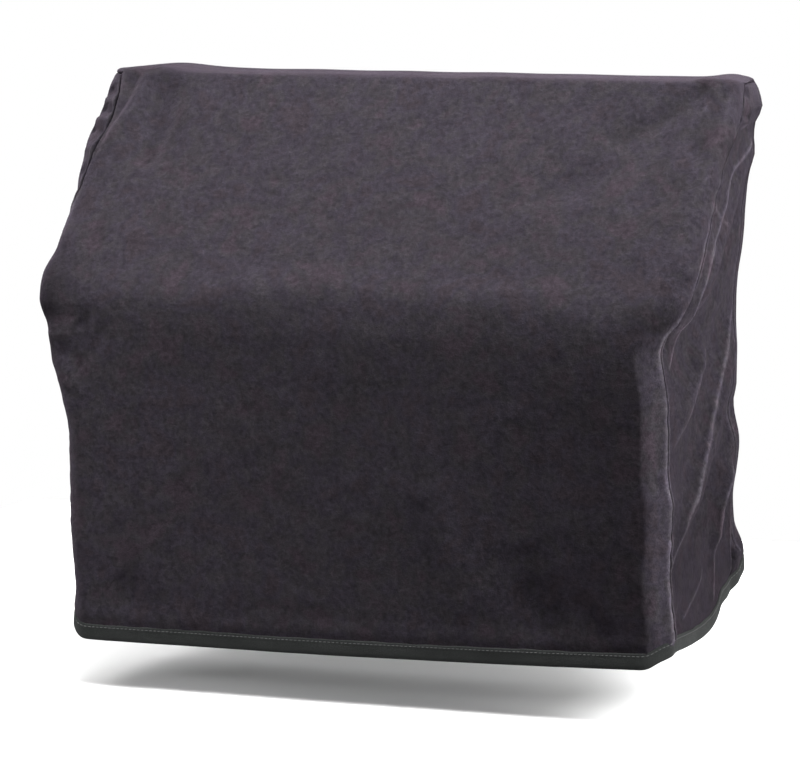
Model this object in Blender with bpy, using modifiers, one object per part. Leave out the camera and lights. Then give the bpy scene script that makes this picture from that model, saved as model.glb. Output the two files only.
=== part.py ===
"""A fitted dust cover of black velour, hollow and open below, bound with twill tape round its hem.

Metres, +Z up, x to the right and y to the back as seen from the front. The origin is the middle of the
underside of the top. A drop is a distance below the top.
"""

from collections import namedtuple

import bmesh
import bpy
import numpy as np

# Main sizes
CLOTH = 0.002
TOP_DEPTH = 0.070
DEPTH = 0.208
HEM_DROP = 0.426
SHOULDER_DROP = 0.168
SHOULDER_RADIUS = 0.072
FRONT_EDGE_DROP = 0.006
BACK_EDGE_RADIUS = 0.008
BACK_CORNER = 0.012
CORNER_SHARE = 0.75
SEAM_GAP = 0.0006
SEAM_BAND = 0.004
GUSSET_TOP_DROP = 0.004

# The tape that is folded over the hem
TAPE = 0.001
TAPE_HEIGHT = 0.0115
TAPE_CLEARANCE = 0.0006
STRAIGHT_HEM = 0.013

FRONT = TOP_DEPTH / 2 - DEPTH
BACK = TOP_DEPTH / 2
LEAN = np.arctan2(DEPTH - TOP_DEPTH, SHOULDER_DROP)
HEM_FADE_DROP = 0.26

# Half widths of the cover at some drops, at its front seams and at its back corners, how far its seams lie
# from the front and from the back, and the radii of its front corners
Section = namedtuple(
    "Section",
    "drop left_front right_front left_back right_back"
    " left_setback right_setback back_setback left_corner right_corner",
)
SECTIONS = (
    Section(0.000, 0.262, 0.251, 0.252, 0.253, 0.004, 0.026, 0.008, 0.026, 0.016),
    Section(0.020, 0.273, 0.253, 0.252, 0.257, 0.003, 0.024, 0.010, 0.042, 0.016),
    Section(0.035, 0.276, 0.254, 0.250, 0.250, 0.003, 0.022, 0.013, 0.046, 0.016),
    Section(0.058, 0.275, 0.249, 0.247, 0.247, 0.005, 0.022, 0.016, 0.042, 0.016),
    Section(0.090, 0.268, 0.248, 0.244, 0.244, 0.008, 0.022, 0.019, 0.032, 0.016),
    Section(0.110, 0.263, 0.248, 0.241, 0.243, 0.014, 0.022, 0.020, 0.022, 0.016),
    Section(0.130, 0.263, 0.248, 0.239, 0.241, 0.019, 0.022, 0.020, 0.016, 0.016),
    Section(0.150, 0.268, 0.246, 0.237, 0.238, 0.022, 0.022, 0.020, 0.016, 0.016),
    Section(0.168, 0.267, 0.239, 0.236, 0.237, 0.021, 0.021, 0.020, 0.016, 0.016),
    Section(0.180, 0.262, 0.230, 0.236, 0.237, 0.019, 0.019, 0.020, 0.014, 0.014),
    Section(0.192, 0.258, 0.227, 0.236, 0.237, 0.018, 0.018, 0.020, 0.014, 0.014),
    Section(0.212, 0.256, 0.230, 0.237, 0.238, 0.018, 0.018, 0.020, 0.014, 0.014),
    Section(0.238, 0.248, 0.233, 0.237, 0.238, 0.018, 0.018, 0.020, 0.014, 0.014),
    Section(0.278, 0.241, 0.233, 0.238, 0.241, 0.018, 0.018, 0.020, 0.014, 0.014),
    Section(0.312, 0.241, 0.237, 0.238, 0.239, 0.018, 0.018, 0.020, 0.014, 0.014),
    Section(0.355, 0.240, 0.235, 0.238, 0.236, 0.018, 0.018, 0.020, 0.014, 0.014),
    Section(0.400, 0.237, 0.238, 0.238, 0.238, 0.019, 0.019, 0.020, 0.014, 0.014),
    Section(0.426, 0.241, 0.240, 0.240, 0.242, 0.020, 0.020, 0.020, 0.015, 0.015),
)

# The hem's drop at some distances behind the front
HemPoint = namedtuple("HemPoint", "setback drop")
HEM = (
    HemPoint(0.000, 0.425),
    HemPoint(0.010, 0.419),
    HemPoint(0.025, 0.415),
    HemPoint(0.080, 0.416),
    HemPoint(0.115, 0.414),
    HemPoint(0.138, 0.407),
    HemPoint(0.150, 0.399),
    HemPoint(0.170, 0.395),
    HemPoint(0.188, 0.386),
    HemPoint(0.208, 0.3725),
)
HEM_TILT = 0.006
HEM_BOW = 0.002

# Ridges and troughs. On the front, top and back a place is (x, drop), on a side it is (y, drop)
Fold = namedtuple("Fold", "face start middle end width height")
FOLDS = (
    Fold("right", (0.030, 0.044), (-0.038, 0.092), (-0.150, 0.192), 0.013, 0.007),
    Fold("right", (0.020, 0.085), (-0.045, 0.140), (-0.140, 0.222), 0.014, -0.006),
    Fold("right", (-0.060, 0.194), (-0.100, 0.226), (-0.157, 0.256), 0.011, 0.004),
    Fold("right", (0.015, 0.179), (-0.045, 0.256), (-0.166, 0.354), 0.012, 0.008),
    Fold("right", (0.025, 0.235), (-0.020, 0.290), (-0.130, 0.372), 0.014, -0.006),
    Fold("right", (0.012, 0.300), (-0.020, 0.336), (-0.036, 0.377), 0.010, 0.006),
    Fold("right", (0.012, 0.402), (0.020, 0.413), (0.024, 0.450), 0.010, 0.0055),
    Fold("left", (0.030, 0.060), (-0.030, 0.110), (-0.120, 0.170), 0.014, 0.006),
    Fold("left", (0.020, 0.150), (-0.050, 0.230), (-0.155, 0.310), 0.014, 0.007),
    Fold("left", (0.025, 0.225), (-0.030, 0.290), (-0.120, 0.360), 0.014, -0.005),
    Fold("left", (0.010, 0.310), (-0.020, 0.350), (-0.040, 0.400), 0.012, 0.005),
    Fold("front", (-0.205, 0.004), (-0.203, 0.040), (-0.212, 0.085), 0.014, -0.004),
    Fold("front", (-0.228, 0.008), (-0.240, 0.040), (-0.254, 0.075), 0.009, 0.003),
    Fold("front", (0.222, 0.012), (0.168, 0.065), (0.095, 0.085), 0.013, -0.003),
    Fold("front", (0.236, 0.010), (0.228, 0.030), (0.220, 0.055), 0.008, -0.002),
    Fold("front", (0.215, 0.125), (0.195, 0.150), (0.175, 0.175), 0.014, -0.002),
    Fold("front", (-0.235, 0.185), (-0.222, 0.195), (-0.200, 0.200), 0.012, -0.004),
    Fold("front", (-0.200, 0.375), (-0.190, 0.385), (-0.175, 0.392), 0.014, -0.002),
    Fold("front", (0.110, 0.370), (0.135, 0.385), (0.150, 0.405), 0.016, -0.002),
    Fold("back", (-0.150, 0.080), (-0.155, 0.200), (-0.150, 0.340), 0.022, 0.003),
    Fold("back", (0.100, 0.120), (0.110, 0.240), (0.105, 0.380), 0.024, -0.003),
    Fold("back", (0.190, 0.100), (0.180, 0.200), (0.185, 0.330), 0.018, 0.003),
)

# The share of a fold's length over which it rises at each end, and the straight steps of its bend
FOLD_END = 0.25
FOLD_STEPS = 8

# Low humps over the two ends of the top, and the drop at which they have died away
Hump = namedtuple("Hump", "x width height")
HUMPS = (Hump(-0.224, 0.028, 0.0034), Hump(0.232, 0.014, 0.0024))
HUMP_FADE_DROP = 0.030

# How finely each stretch is divided
SLOPE_ROWS, ROLL_ROWS, WALL_ROWS, TOP_ROWS = 10, 5, 15, 4
FLAT_COLUMNS, CORNER_COLUMNS, GUSSET_COLUMNS = 14, 4, 14
CLOSER_AT_SEAMS = 0.7

VELOUR = ((0.030, 0.026, 0.031), 0.95)
TWILL = ((0.024, 0.027, 0.027), 0.85)


def smooth(share):
    share = np.clip(share, 0, 1)
    return share * share * (3 - 2 * share)


def curve_through(places, values, at):
    """A smooth curve through the values, with no overshoot between them."""
    places, values = np.array(places), np.array(values)
    slopes = np.diff(values) / np.diff(places)
    before, after = slopes[:-1], slopes[1:]
    same_way = before * after > 0
    inner = np.where(same_way, 2 * before * after / np.where(same_way, before + after, 1), 0)
    tangents = np.concatenate([slopes[:1], inner, slopes[-1:]])
    at = np.clip(at, places[0], places[-1])
    i = np.clip(np.searchsorted(places, at, side="right") - 1, 0, len(places) - 2)
    length = places[i + 1] - places[i]
    t = (at - places[i]) / length
    start = (1 + 2 * t) * (1 - t) ** 2 * values[i] + t * (1 - t) ** 2 * length * tangents[i]
    end = t * t * (3 - 2 * t) * values[i + 1] + t * t * (t - 1) * length * tangents[i + 1]
    return start + end


def section(column, drop):
    return curve_through([row.drop for row in SECTIONS], [getattr(row, column) for row in SECTIONS], drop)


def front_y(drop):
    """The front seen from the side: upright, a rolled shoulder, then a slope up to the top's edge."""
    tangent = SHOULDER_RADIUS * np.tan(LEAN / 2)
    roll_start = SHOULDER_DROP + tangent
    roll_end = SHOULDER_DROP - tangent * np.cos(LEAN)
    height = np.clip(roll_start - drop, 0, SHOULDER_RADIUS)
    rolled = FRONT + SHOULDER_RADIUS - np.sqrt(SHOULDER_RADIUS**2 - height**2)
    sloped = -TOP_DEPTH / 2 - drop * np.tan(LEAN)
    return np.where(drop > roll_end, rolled, sloped)


def back_y(drop):
    height = np.clip(BACK_EDGE_RADIUS - drop, 0, BACK_EDGE_RADIUS)
    return BACK - BACK_EDGE_RADIUS + np.sqrt(BACK_EDGE_RADIUS**2 - height**2)


def fold_height(face, across, drop):
    """The ridges less the troughs of one face. Each follows a bend through its three points."""
    total = np.zeros(np.broadcast(across, drop).shape)
    steps = np.linspace(0, 1, FOLD_STEPS + 1)[:, None]
    for fold in FOLDS:
        if fold.face != face:
            continue
        start, middle, end = (np.array(point) for point in (fold.start, fold.middle, fold.end))
        bend = 2 * middle - (start + end) / 2
        points = (1 - steps) ** 2 * start + 2 * steps * (1 - steps) * bend + steps**2 * end
        nearest = np.full(total.shape, np.inf)
        along = np.zeros(total.shape)
        for i in range(FOLD_STEPS):
            ahead = points[i + 1] - points[i]
            beside, below = across - points[i, 0], drop - points[i, 1]
            share = np.clip((beside * ahead[0] + below * ahead[1]) / (ahead @ ahead), 0, 1)
            distance = np.hypot(beside - share * ahead[0], below - share * ahead[1])
            along = np.where(distance < nearest, (i + share) / FOLD_STEPS, along)
            nearest = np.minimum(nearest, distance)
        taper = smooth(along / FOLD_END) * smooth((1 - along) / FOLD_END)
        total += fold.height * taper * np.exp(-((nearest / fold.width) ** 2))
    return total


def seam_y(side, end, drop):
    setback = section(f"{side if end == 'front' else 'back'}_setback", np.minimum(drop, HEM_DROP - STRAIGHT_HEM))
    if end == "front":
        return front_y(drop) + setback
    return back_y(drop) - setback


def off_seams(side, y, drop):
    """Moves y to the nearer seam inside the stiff band along it, so that no fold bends the cloth there."""
    front, back = seam_y(side, "front", drop), seam_y(side, "back", drop)
    inner = np.clip((y - front - SEAM_BAND) / (back - front - 2 * SEAM_BAND), 0, 1)
    between = front + (back - front) * inner
    return between + np.minimum(y - front + SEAM_BAND, 0) + np.maximum(y - back - SEAM_BAND, 0)


def corner_inset(radius, distance):
    """How far a rounded corner draws a side in, at a distance from the face round the corner."""
    short = np.clip(radius - distance, 0, radius)
    return radius - np.sqrt(radius**2 - short**2)


def half_width(side, y, drop):
    """From the middle to the side's outer face, with that side's folds and its rounded corners."""
    drop = np.minimum(drop, HEM_DROP - STRAIGHT_HEM)
    front, back = front_y(drop), back_y(drop)
    width_front, width_back = section(side + "_front", drop), section(side + "_back", drop)
    width = width_front + (width_back - width_front) * smooth((y - front) / (back - front))
    width = width - corner_inset(section(side + "_corner", drop), y - front)
    width = width - corner_inset(BACK_CORNER, back - y)
    return width + fold_height(side, off_seams(side, y, drop), drop)


def hem_shift(x, y, drop):
    """How much lower than its own drop a point lies, so that the hem follows its line."""
    setback = y - FRONT
    line = curve_through([point.setback for point in HEM], [point.drop for point in HEM], setback)
    share = x / SECTIONS[-1].right_front
    tilt = (HEM_BOW * (1 - share**2) - HEM_TILT * share / 2) * (1 - smooth(setback / (DEPTH / 2)))
    fade = smooth((drop - HEM_FADE_DROP) / (HEM_DROP - STRAIGHT_HEM - HEM_FADE_DROP))
    return (line + tilt - HEM_DROP) * fade


def placed(x, y, drop):
    lowered = drop + hem_shift(x, y, drop)
    return np.stack(np.broadcast_arrays(x, y, CLOTH / 2 - lowered), axis=-1)


def level_drops():
    """The drops of the level rows, from the hem up to the gussets' top."""
    roll = SHOULDER_RADIUS * np.tan(LEAN / 2)
    wall = np.linspace(HEM_DROP - STRAIGHT_HEM, SHOULDER_DROP + roll, WALL_ROWS)
    rolled = np.linspace(SHOULDER_DROP + roll, SHOULDER_DROP - roll * np.cos(LEAN), ROLL_ROWS + 1)[1:]
    sloped = np.linspace(rolled[-1], GUSSET_TOP_DROP, SLOPE_ROWS + 1)[1:]
    return np.concatenate([[HEM_DROP], wall, rolled, sloped])


def top_drop(y):
    """The rounded front and back edges of the top, as drops below its flat middle."""
    edge = FRONT_EDGE_DROP / np.cos(LEAN)
    radius = edge / np.tan((np.pi / 2 - LEAN) / 2)
    front_reach = np.clip(edge - TOP_DEPTH / 2 - y, 0, radius)
    back_reach = np.clip(y - BACK + BACK_EDGE_RADIUS, 0, BACK_EDGE_RADIUS)
    front_drop = radius - np.sqrt(radius**2 - front_reach**2)
    return front_drop + BACK_EDGE_RADIUS - np.sqrt(BACK_EDGE_RADIUS**2 - back_reach**2)


def panel_rows(side):
    """For each row of the panel, its place on the outline and on the seam, as (y, drop), and its face."""
    drops = level_drops()
    tops = np.linspace(0, 1, TOP_ROWS + 1)[1:-1]
    edges = [front_y(GUSSET_TOP_DROP), back_y(GUSSET_TOP_DROP)]
    seams = [seam_y(side, end, GUSSET_TOP_DROP) for end in ("front", "back")]
    top_y = edges[0] + (edges[1] - edges[0]) * tops
    top_seam = seams[0] + (seams[1] - seams[0]) * tops
    level = np.full(len(tops), GUSSET_TOP_DROP)
    outline = np.concatenate([
        np.stack([front_y(drops), drops], axis=1),
        np.stack([top_y, top_drop(top_y)], axis=1),
        np.stack([back_y(drops), drops], axis=1)[::-1],
    ])
    seam = np.concatenate([
        np.stack([seam_y(side, "front", drops), drops], axis=1),
        np.stack([top_seam, level], axis=1),
        np.stack([seam_y(side, "back", drops), drops], axis=1)[::-1],
    ])
    faces = ["front"] * len(drops) + ["top"] * len(tops) + ["back"] * len(drops)
    return outline, seam, np.array(faces)


def panel_columns():
    """From the middle to a seam: the share of the flat, of the corner's arc and of the way on to the seam."""
    flat = [(share, 0.0, 0.0) for share in np.linspace(0, 1, FLAT_COLUMNS // 2 + 1)]
    corner = [(1.0, turn, 0.0) for turn in np.linspace(0, 1, CORNER_COLUMNS + 1)[1:]]
    return np.array(flat + corner + [(1.0, 1.0, 1.0)])


def outward(outline):
    along = np.gradient(outline, axis=0)
    normal = np.stack([-along[:, 1], along[:, 0]], axis=1)
    return -normal / np.linalg.norm(normal, axis=1, keepdims=True)


def panel_half(side):
    outline, seam, faces = panel_rows(side)
    share, turn, reach = (column[None, :] for column in panel_columns().T)
    inward = seam - outline
    length = np.linalg.norm(inward, axis=1, keepdims=True) - SEAM_GAP / 2
    inward = inward / np.linalg.norm(inward, axis=1, keepdims=True)
    rolled = CORNER_SHARE * length
    level_radius = section(side + "_corner", np.minimum(outline[:, 1:], HEM_DROP - STRAIGHT_HEM))
    radius = np.select([faces == "front", faces == "back"], [level_radius[:, 0], BACK_CORNER], rolled[:, 0])[:, None]
    angle = turn * np.arccos(1 - np.minimum(rolled / radius, 1))
    arc_end = np.minimum(rolled, radius)
    offset = radius * (1 - np.cos(angle)) + reach * (length - arc_end)
    y = outline[:, :1] + inward[:, :1] * offset
    drop = outline[:, 1:] + inward[:, 1:] * offset
    over_top = np.where(faces == "top", 1, 0)[:, None] * radius * (1 - np.sin(angle))
    x = (1 if side == "right" else -1) * share * (half_width(side, y, drop) - over_top)
    relief = np.zeros(x.shape)
    for face in ("front", "back"):
        rows = faces == face
        relief[rows] = fold_height(face, x[rows], np.minimum(drop[rows], HEM_DROP - STRAIGHT_HEM))
    relief = relief * (1 - smooth(offset / length))
    away = outward(outline)
    y = y + away[:, :1] * relief
    drop = drop + away[:, 1:] * relief - hump_height(x, drop)
    return placed(x, y, drop)


def panel_points():
    return np.concatenate([panel_half("left")[:, :0:-1], panel_half("right")], axis=1)


def hump_height(x, drop):
    total = sum(hump.height * np.exp(-(((x - hump.x) / hump.width) ** 2)) for hump in HUMPS)
    return total * (1 - smooth(drop / HUMP_FADE_DROP))


def gusset_points(side):
    drops = level_drops()[:, None]
    even = np.linspace(0, 1, GUSSET_COLUMNS + 1)[None, :]
    share = even + CLOSER_AT_SEAMS * (smooth(even) - even)
    front = seam_y(side, "front", drops) + SEAM_GAP / 2
    back = seam_y(side, "back", drops) - SEAM_GAP / 2
    y = front + (back - front) * share
    drop = np.where(drops == GUSSET_TOP_DROP, drops + SEAM_GAP / 2, drops)
    sign = 1 if side == "right" else -1
    x = sign * half_width(side, y, drop)
    return placed(x, y, drop)


def sheet(name, points, thickness, colour, closed=False):
    """A grid laid through the points, given its thickness evenly on both sides."""
    rows, columns = points.shape[:2]
    bpy.ops.mesh.primitive_grid_add(x_subdivisions=columns - 1, y_subdivisions=rows - 1)
    sheet_object = bpy.context.active_object
    sheet_object.name = name
    mesh = sheet_object.data
    mesh.name = name
    mesh.vertices.foreach_set("co", points.reshape(-1))
    shape = bmesh.new()
    shape.from_mesh(mesh)
    if closed:
        bmesh.ops.remove_doubles(shape, verts=shape.verts, dist=1e-6)
    shape.to_mesh(mesh)
    shape.free()
    mesh.shade_smooth()
    solid = sheet_object.modifiers.new("thickness", "SOLIDIFY")
    solid.thickness = thickness
    solid.offset = 0
    solid.use_even_offset = True
    mesh.materials.append(material(name, *colour))
    return sheet_object


def material(name, colour, roughness):
    made = bpy.data.materials.new(name)
    made.use_nodes = True
    shader = made.node_tree.nodes["Principled BSDF"]
    shader.inputs["Base Color"].default_value = (*colour, 1)
    shader.inputs["Roughness"].default_value = roughness
    shader.inputs["Metallic"].default_value = 0
    return made


def hem_loop(panel, gussets):
    """The hem's line all the way round, from the front's left seam by the right side and the back."""
    front, back = panel[0], panel[-1]
    left, right = gussets["left"][0], gussets["right"][0]
    return np.concatenate([front, right[1:-1], back[::-1], left[::-1][1:-1]])


def binding_points(loop):
    """The middle of the tape: up its outer leg's far side, under the cloth's edge and up its inner leg."""
    ahead = np.roll(loop, -1, axis=0) - loop
    behind = loop - np.roll(loop, 1, axis=0)
    sides = []
    for step in (ahead, behind):
        out = np.stack([step[:, 1], -step[:, 0]], axis=1)
        sides.append(out / np.linalg.norm(out, axis=1, keepdims=True))
    mitre = sides[0] + sides[1]
    mitre = mitre / (1 + (sides[0] * sides[1]).sum(axis=1, keepdims=True))
    away = CLOTH / 2 + TAPE_CLEARANCE + TAPE / 2
    under = TAPE_CLEARANCE + TAPE / 2
    over = TAPE_HEIGHT - TAPE - TAPE_CLEARANCE
    legs = []
    for distance, height in ((away, over), (away, -under), (-away, -under), (-away, over)):
        leg = loop.copy()
        leg[:, :2] += mitre * distance
        leg[:, 2] += height
        legs.append(np.concatenate([leg, leg[:1]]))
    return np.stack(legs)


def clear_scene():
    for old in list(bpy.data.objects):
        bpy.data.objects.remove(old, do_unlink=True)


def gather(name, pieces):
    collection = bpy.data.collections.new(name)
    bpy.context.scene.collection.children.link(collection)
    for piece in pieces:
        for holder in list(piece.users_collection):
            holder.objects.unlink(piece)
        collection.objects.link(piece)


def build():
    clear_scene()
    panel = panel_points()
    gussets = {side: gusset_points(side) for side in ("left", "right")}
    pieces = [sheet("main_panel", panel, CLOTH, VELOUR)]
    for side, points in gussets.items():
        facing_out = points if side == "right" else points[:, ::-1]
        pieces.append(sheet(f"side_gusset_{side}", facing_out, CLOTH, VELOUR))
    tape = binding_points(hem_loop(panel, gussets))
    pieces.append(sheet("hem_binding", tape, TAPE, TWILL, closed=True))
    gather("accordion_cover", pieces)


build()
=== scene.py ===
"""The looks of the dust cover: velour sheets on the folds of its solids, rolled seams and a twill binding.

Metres, but millimetres in the tables of sections, hem points, folds and creases. +Z up, x to the right and y to the
back as seen from the front, from the middle of the underside of the top. A drop is a distance below the top.
"""

from collections import namedtuple

import bpy
import numpy as np
from mathutils import Matrix, Vector


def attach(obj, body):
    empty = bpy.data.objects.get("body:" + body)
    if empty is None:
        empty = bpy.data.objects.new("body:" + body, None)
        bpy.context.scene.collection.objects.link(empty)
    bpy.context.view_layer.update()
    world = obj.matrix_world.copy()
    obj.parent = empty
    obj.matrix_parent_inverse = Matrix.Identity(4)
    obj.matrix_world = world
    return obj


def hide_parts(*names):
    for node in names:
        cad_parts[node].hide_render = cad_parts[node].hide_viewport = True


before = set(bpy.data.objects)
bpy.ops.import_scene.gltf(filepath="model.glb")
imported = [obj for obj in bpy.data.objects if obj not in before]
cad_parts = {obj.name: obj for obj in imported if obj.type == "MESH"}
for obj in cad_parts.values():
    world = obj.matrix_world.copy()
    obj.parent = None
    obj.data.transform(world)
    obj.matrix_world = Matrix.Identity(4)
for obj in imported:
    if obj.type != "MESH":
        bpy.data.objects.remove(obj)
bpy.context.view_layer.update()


def table(columns, *rows, defaults=()):
    """Rows with named columns."""
    row_type = namedtuple("Row", columns, defaults=defaults)
    return [row_type(*row) for row in rows]


# Main sizes, the same as those of the solids
CLOTH = 0.002
TOP_DEPTH = 0.070
DEPTH = 0.208
HEM_DROP = 0.426
SHOULDER_DROP = 0.168
SHOULDER_RADIUS = 0.072
FRONT_EDGE_DROP = 0.006
BACK_EDGE_RADIUS = 0.008
BACK_CORNER = 0.012
CORNER_SHARE = 0.75
SEAM_BAND = 0.004
TAPE = 0.001
TAPE_HEIGHT = 0.0115
STRAIGHT_DROP = HEM_DROP - 0.013
FRONT = TOP_DEPTH / 2 - DEPTH
BACK = TOP_DEPTH / 2
LEAN = np.arctan2(DEPTH - TOP_DEPTH, SHOULDER_DROP)
HEM_FADE_DROP = 0.26

# Sizes that the solids don't share. The gussets reach a little higher, the front corners are flatter than round
# below the shoulder, and the sides are drawn in at their top, the more so the farther back
GUSSET_TOP_DROP = 0.0025
CORNER_FLATNESS = {"left": 0.3, "right": 0.95}
FLATTENING_DROP = 0.03
TOP_CORNER_DIP = {"left": 0.000, "right": 0.0025}
TOP_CORNER_DIP_DROP = 0.045
TOP_EDGE_DIP = 0.0015
TOP_EDGE_DIP_DROP = 0.010

# Half widths of the cover at some drops, at its front seams and at its back corners, how far its seams lie from the
# front and from the back, and the radii of its front corners
SECTIONS = table(
    "drop left_front right_front left_back right_back"
    " left_setback right_setback back_setback left_corner right_corner",
    (0, 262, 251, 252, 253, 4, 26, 8, 26, 16),
    (20, 273, 253, 252, 257, 3, 24, 10, 42, 16),
    (35, 276, 254, 250, 250, 3, 22, 13, 46, 16),
    (58, 275, 249, 247, 247, 5, 22, 16, 42, 16),
    (90, 268, 248, 244, 244, 8, 22, 19, 32, 16),
    (110, 263, 248, 241, 243, 14, 22, 20, 22, 16),
    (130, 263, 248, 239, 241, 19, 22, 20, 16, 16),
    (150, 268, 246, 237, 238, 22, 22, 20, 16, 16),
    (168, 267, 239, 236, 237, 21, 21, 20, 16, 16),
    (180, 262, 230, 236, 237, 19, 19, 20, 14, 14),
    (192, 258, 227, 236, 237, 18, 18, 20, 14, 14),
    (212, 256, 230, 237, 238, 18, 18, 20, 14, 14),
    (238, 248, 233, 237, 238, 18, 18, 20, 14, 14),
    (278, 241, 233, 238, 241, 18, 18, 20, 14, 14),
    (312, 241, 237, 238, 239, 18, 18, 20, 14, 14),
    (355, 240, 235, 238, 236, 18, 18, 20, 14, 14),
    (400, 237, 238, 238, 238, 19, 19, 20, 14, 14),
    (426, 241, 240, 240, 242, 20, 20, 20, 15, 15),
)

# The hem's drop at some distances behind the front
HEM = table(
    "setback drop",
    (0, 425), (10, 419), (25, 415), (80, 416), (115, 414),
    (138, 407), (150, 399), (170, 395), (188, 386), (208, 372.5),
)
HEM_TILT = 0.006
HEM_BOW = 0.002

# Ridges and troughs, the same as those of the solids. On the front, top and back a place is (x, drop), on a
# side it is (y, drop)
FOLDS = table(
    "face start middle end width height",
    ("right", (30, 44), (-38, 92), (-150, 192), 13, 7),
    ("right", (20, 85), (-45, 140), (-140, 222), 14, -6),
    ("right", (-60, 194), (-100, 226), (-157, 256), 11, 4),
    ("right", (15, 179), (-45, 256), (-166, 354), 12, 8),
    ("right", (25, 235), (-20, 290), (-130, 372), 14, -6),
    ("right", (12, 300), (-20, 336), (-36, 377), 10, 6),
    ("right", (12, 402), (20, 413), (24, 450), 10, 5.5),
    ("left", (30, 60), (-30, 110), (-120, 170), 14, 6),
    ("left", (20, 150), (-50, 230), (-155, 310), 14, 7),
    ("left", (25, 225), (-30, 290), (-120, 360), 14, -5),
    ("left", (10, 310), (-20, 350), (-40, 400), 12, 5),
    ("front", (-205, 4), (-203, 40), (-212, 85), 14, -4),
    ("front", (-228, 8), (-240, 40), (-254, 75), 9, 3),
    ("front", (222, 12), (168, 65), (95, 85), 13, -3),
    ("front", (236, 10), (228, 30), (220, 55), 8, -2),
    ("front", (215, 125), (195, 150), (175, 175), 14, -2),
    ("front", (-235, 185), (-222, 195), (-200, 200), 12, -4),
    ("front", (-200, 375), (-190, 385), (-175, 392), 14, -2),
    ("front", (110, 370), (135, 385), (150, 405), 16, -2),
    ("back", (-150, 80), (-155, 200), (-150, 340), 22, 3),
    ("back", (100, 120), (110, 240), (105, 380), 24, -3),
    ("back", (190, 100), (180, 200), (185, 330), 18, 3),
)
FOLD_END = 0.25
FOLD_STEPS = 8

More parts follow.
